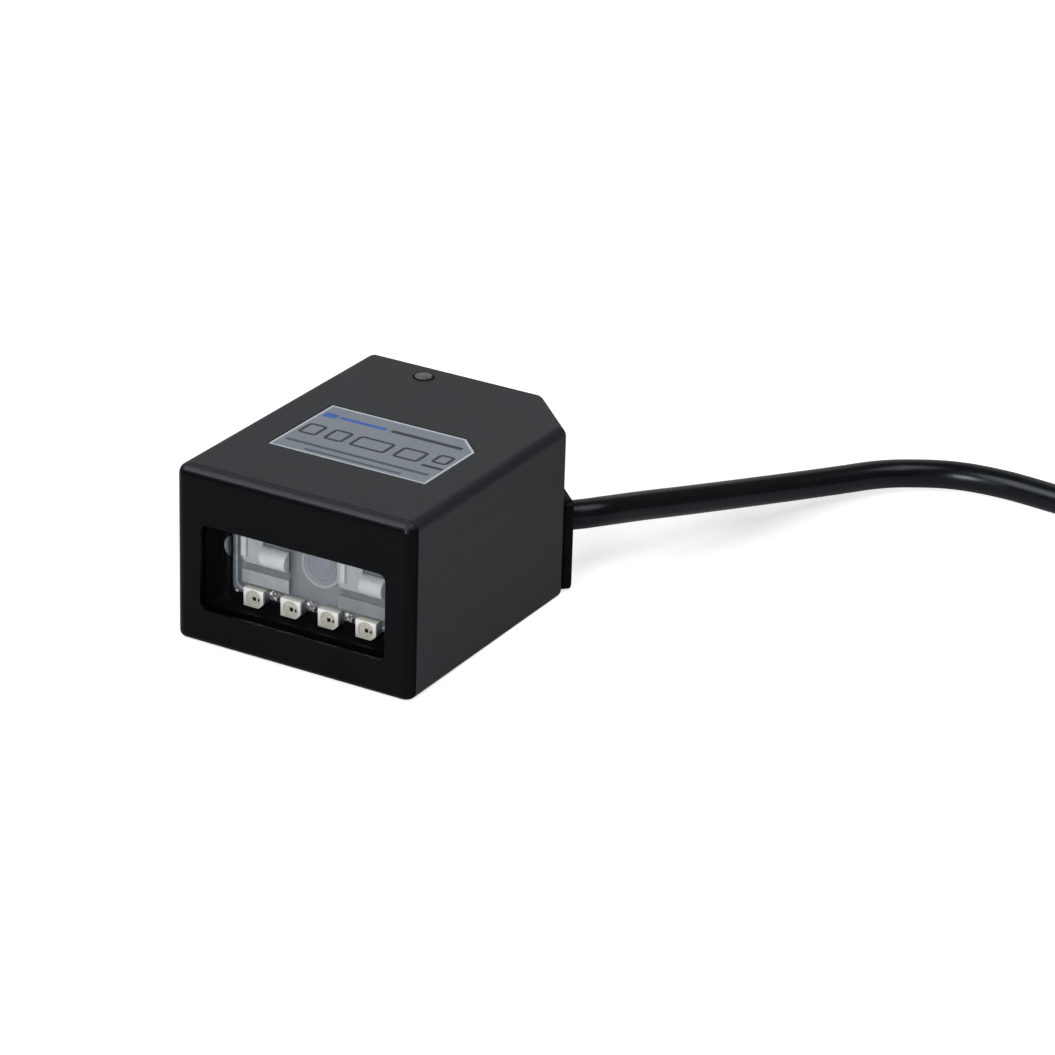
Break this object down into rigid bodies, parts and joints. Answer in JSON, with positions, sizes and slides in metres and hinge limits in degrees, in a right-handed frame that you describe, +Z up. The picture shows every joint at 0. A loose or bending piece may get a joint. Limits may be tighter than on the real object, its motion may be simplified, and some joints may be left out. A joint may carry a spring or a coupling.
{
  "type": "fixed barcode reader",
  "caption": "Small fixed code reader: textured black housing with a glossy windowed front, lights and camera lens inside, bevelled cable corner and a lead with a flat plug.",
  "frame": {"origin": "middle of the housing's flat base, on the surface that it stands on", "axes": "+X to the right as seen from the front, +Y from the window towards the back, +Z up"},
  "size_m": [0.1892, 0.108, 0.0278],
  "materials": {
    "housing_plastic": "fine textured moulding",
    "bezel_plastic": "polished moulding",
    "clear_pane": "clear",
    "seal_rubber": "soft black",
    "label_foil": "silver foil",
    "lamp_plastic": "smoked translucent",
    "base_plastic": "fine textured moulding",
    "screw_steel": "zinc plated",
    "insert_brass": "turned",
    "tray_plastic": "polished black",
    "white_mask": "white solder mask",
    "led_white": "white moulding with yellow resin",
    "solder": "tinned",
    "frosted_lens": "frosted",
    "chassis_plastic": "pale grey moulding",
    "lens_glass": "coated glass",
    "circuit_board": "green solder mask",
    "chip_black": "moulded",
    "sensor_glass": "dark glass",
    "flex_film": "amber film",
    "ivory_plastic": "moulded",
    "wire_jacket": "insulation",
    "relief_rubber": "moulded",
    "cable_jacket": "satin jacket",
    "tie_fabric": "woven strap",
    "plug_metal": "nickel plated"
  },
  "bodies": {
    "root": {"housing": "housing_plastic", "front_bezel": "bezel_plastic", "scan_window": "clear_pane", "window_seal": "seal_rubber", "label": "label_foil", "indicator_lens": "lamp_plastic", "base_plate": "base_plastic", "base_screws": "screw_steel", "mount_insert_1": "insert_brass", "mount_insert_2": "insert_brass", "optics_tray": "tray_plastic", "led_board": "white_mask", "led_1": "led_white", "led_2": "led_white", "led_3": "led_white", "led_4": "led_white", "led_parts": "solder", "side_lens_1": "frosted_lens", "side_lens_2": "frosted_lens", "optics_chassis": "chassis_plastic", "lens_barrel": "chassis_plastic", "objective_lens": "lens_glass", "image_sensor": "sensor_glass", "sensor_board": "circuit_board", "flex_link": "flex_film", "main_board": "circuit_board", "decoder_chip": "chip_black", "memory_chip": "chip_black", "oscillator": "screw_steel", "beeper": "chip_black", "status_led": "led_white", "board_screws": "screw_steel", "cable_socket": "ivory_plastic", "cable_connector": "ivory_plastic", "inner_wires": "wire_jacket", "cable_flange": "relief_rubber", "cable": "cable_jacket", "cable_coil": "cable_jacket", "cable_tail": "cable_jacket", "coil_tie": "tie_fabric", "plug_grip": "relief_rubber", "plug_shell": "plug_metal", "plug_tongue": "ivory_plastic"}
  },
  "joints": []
}
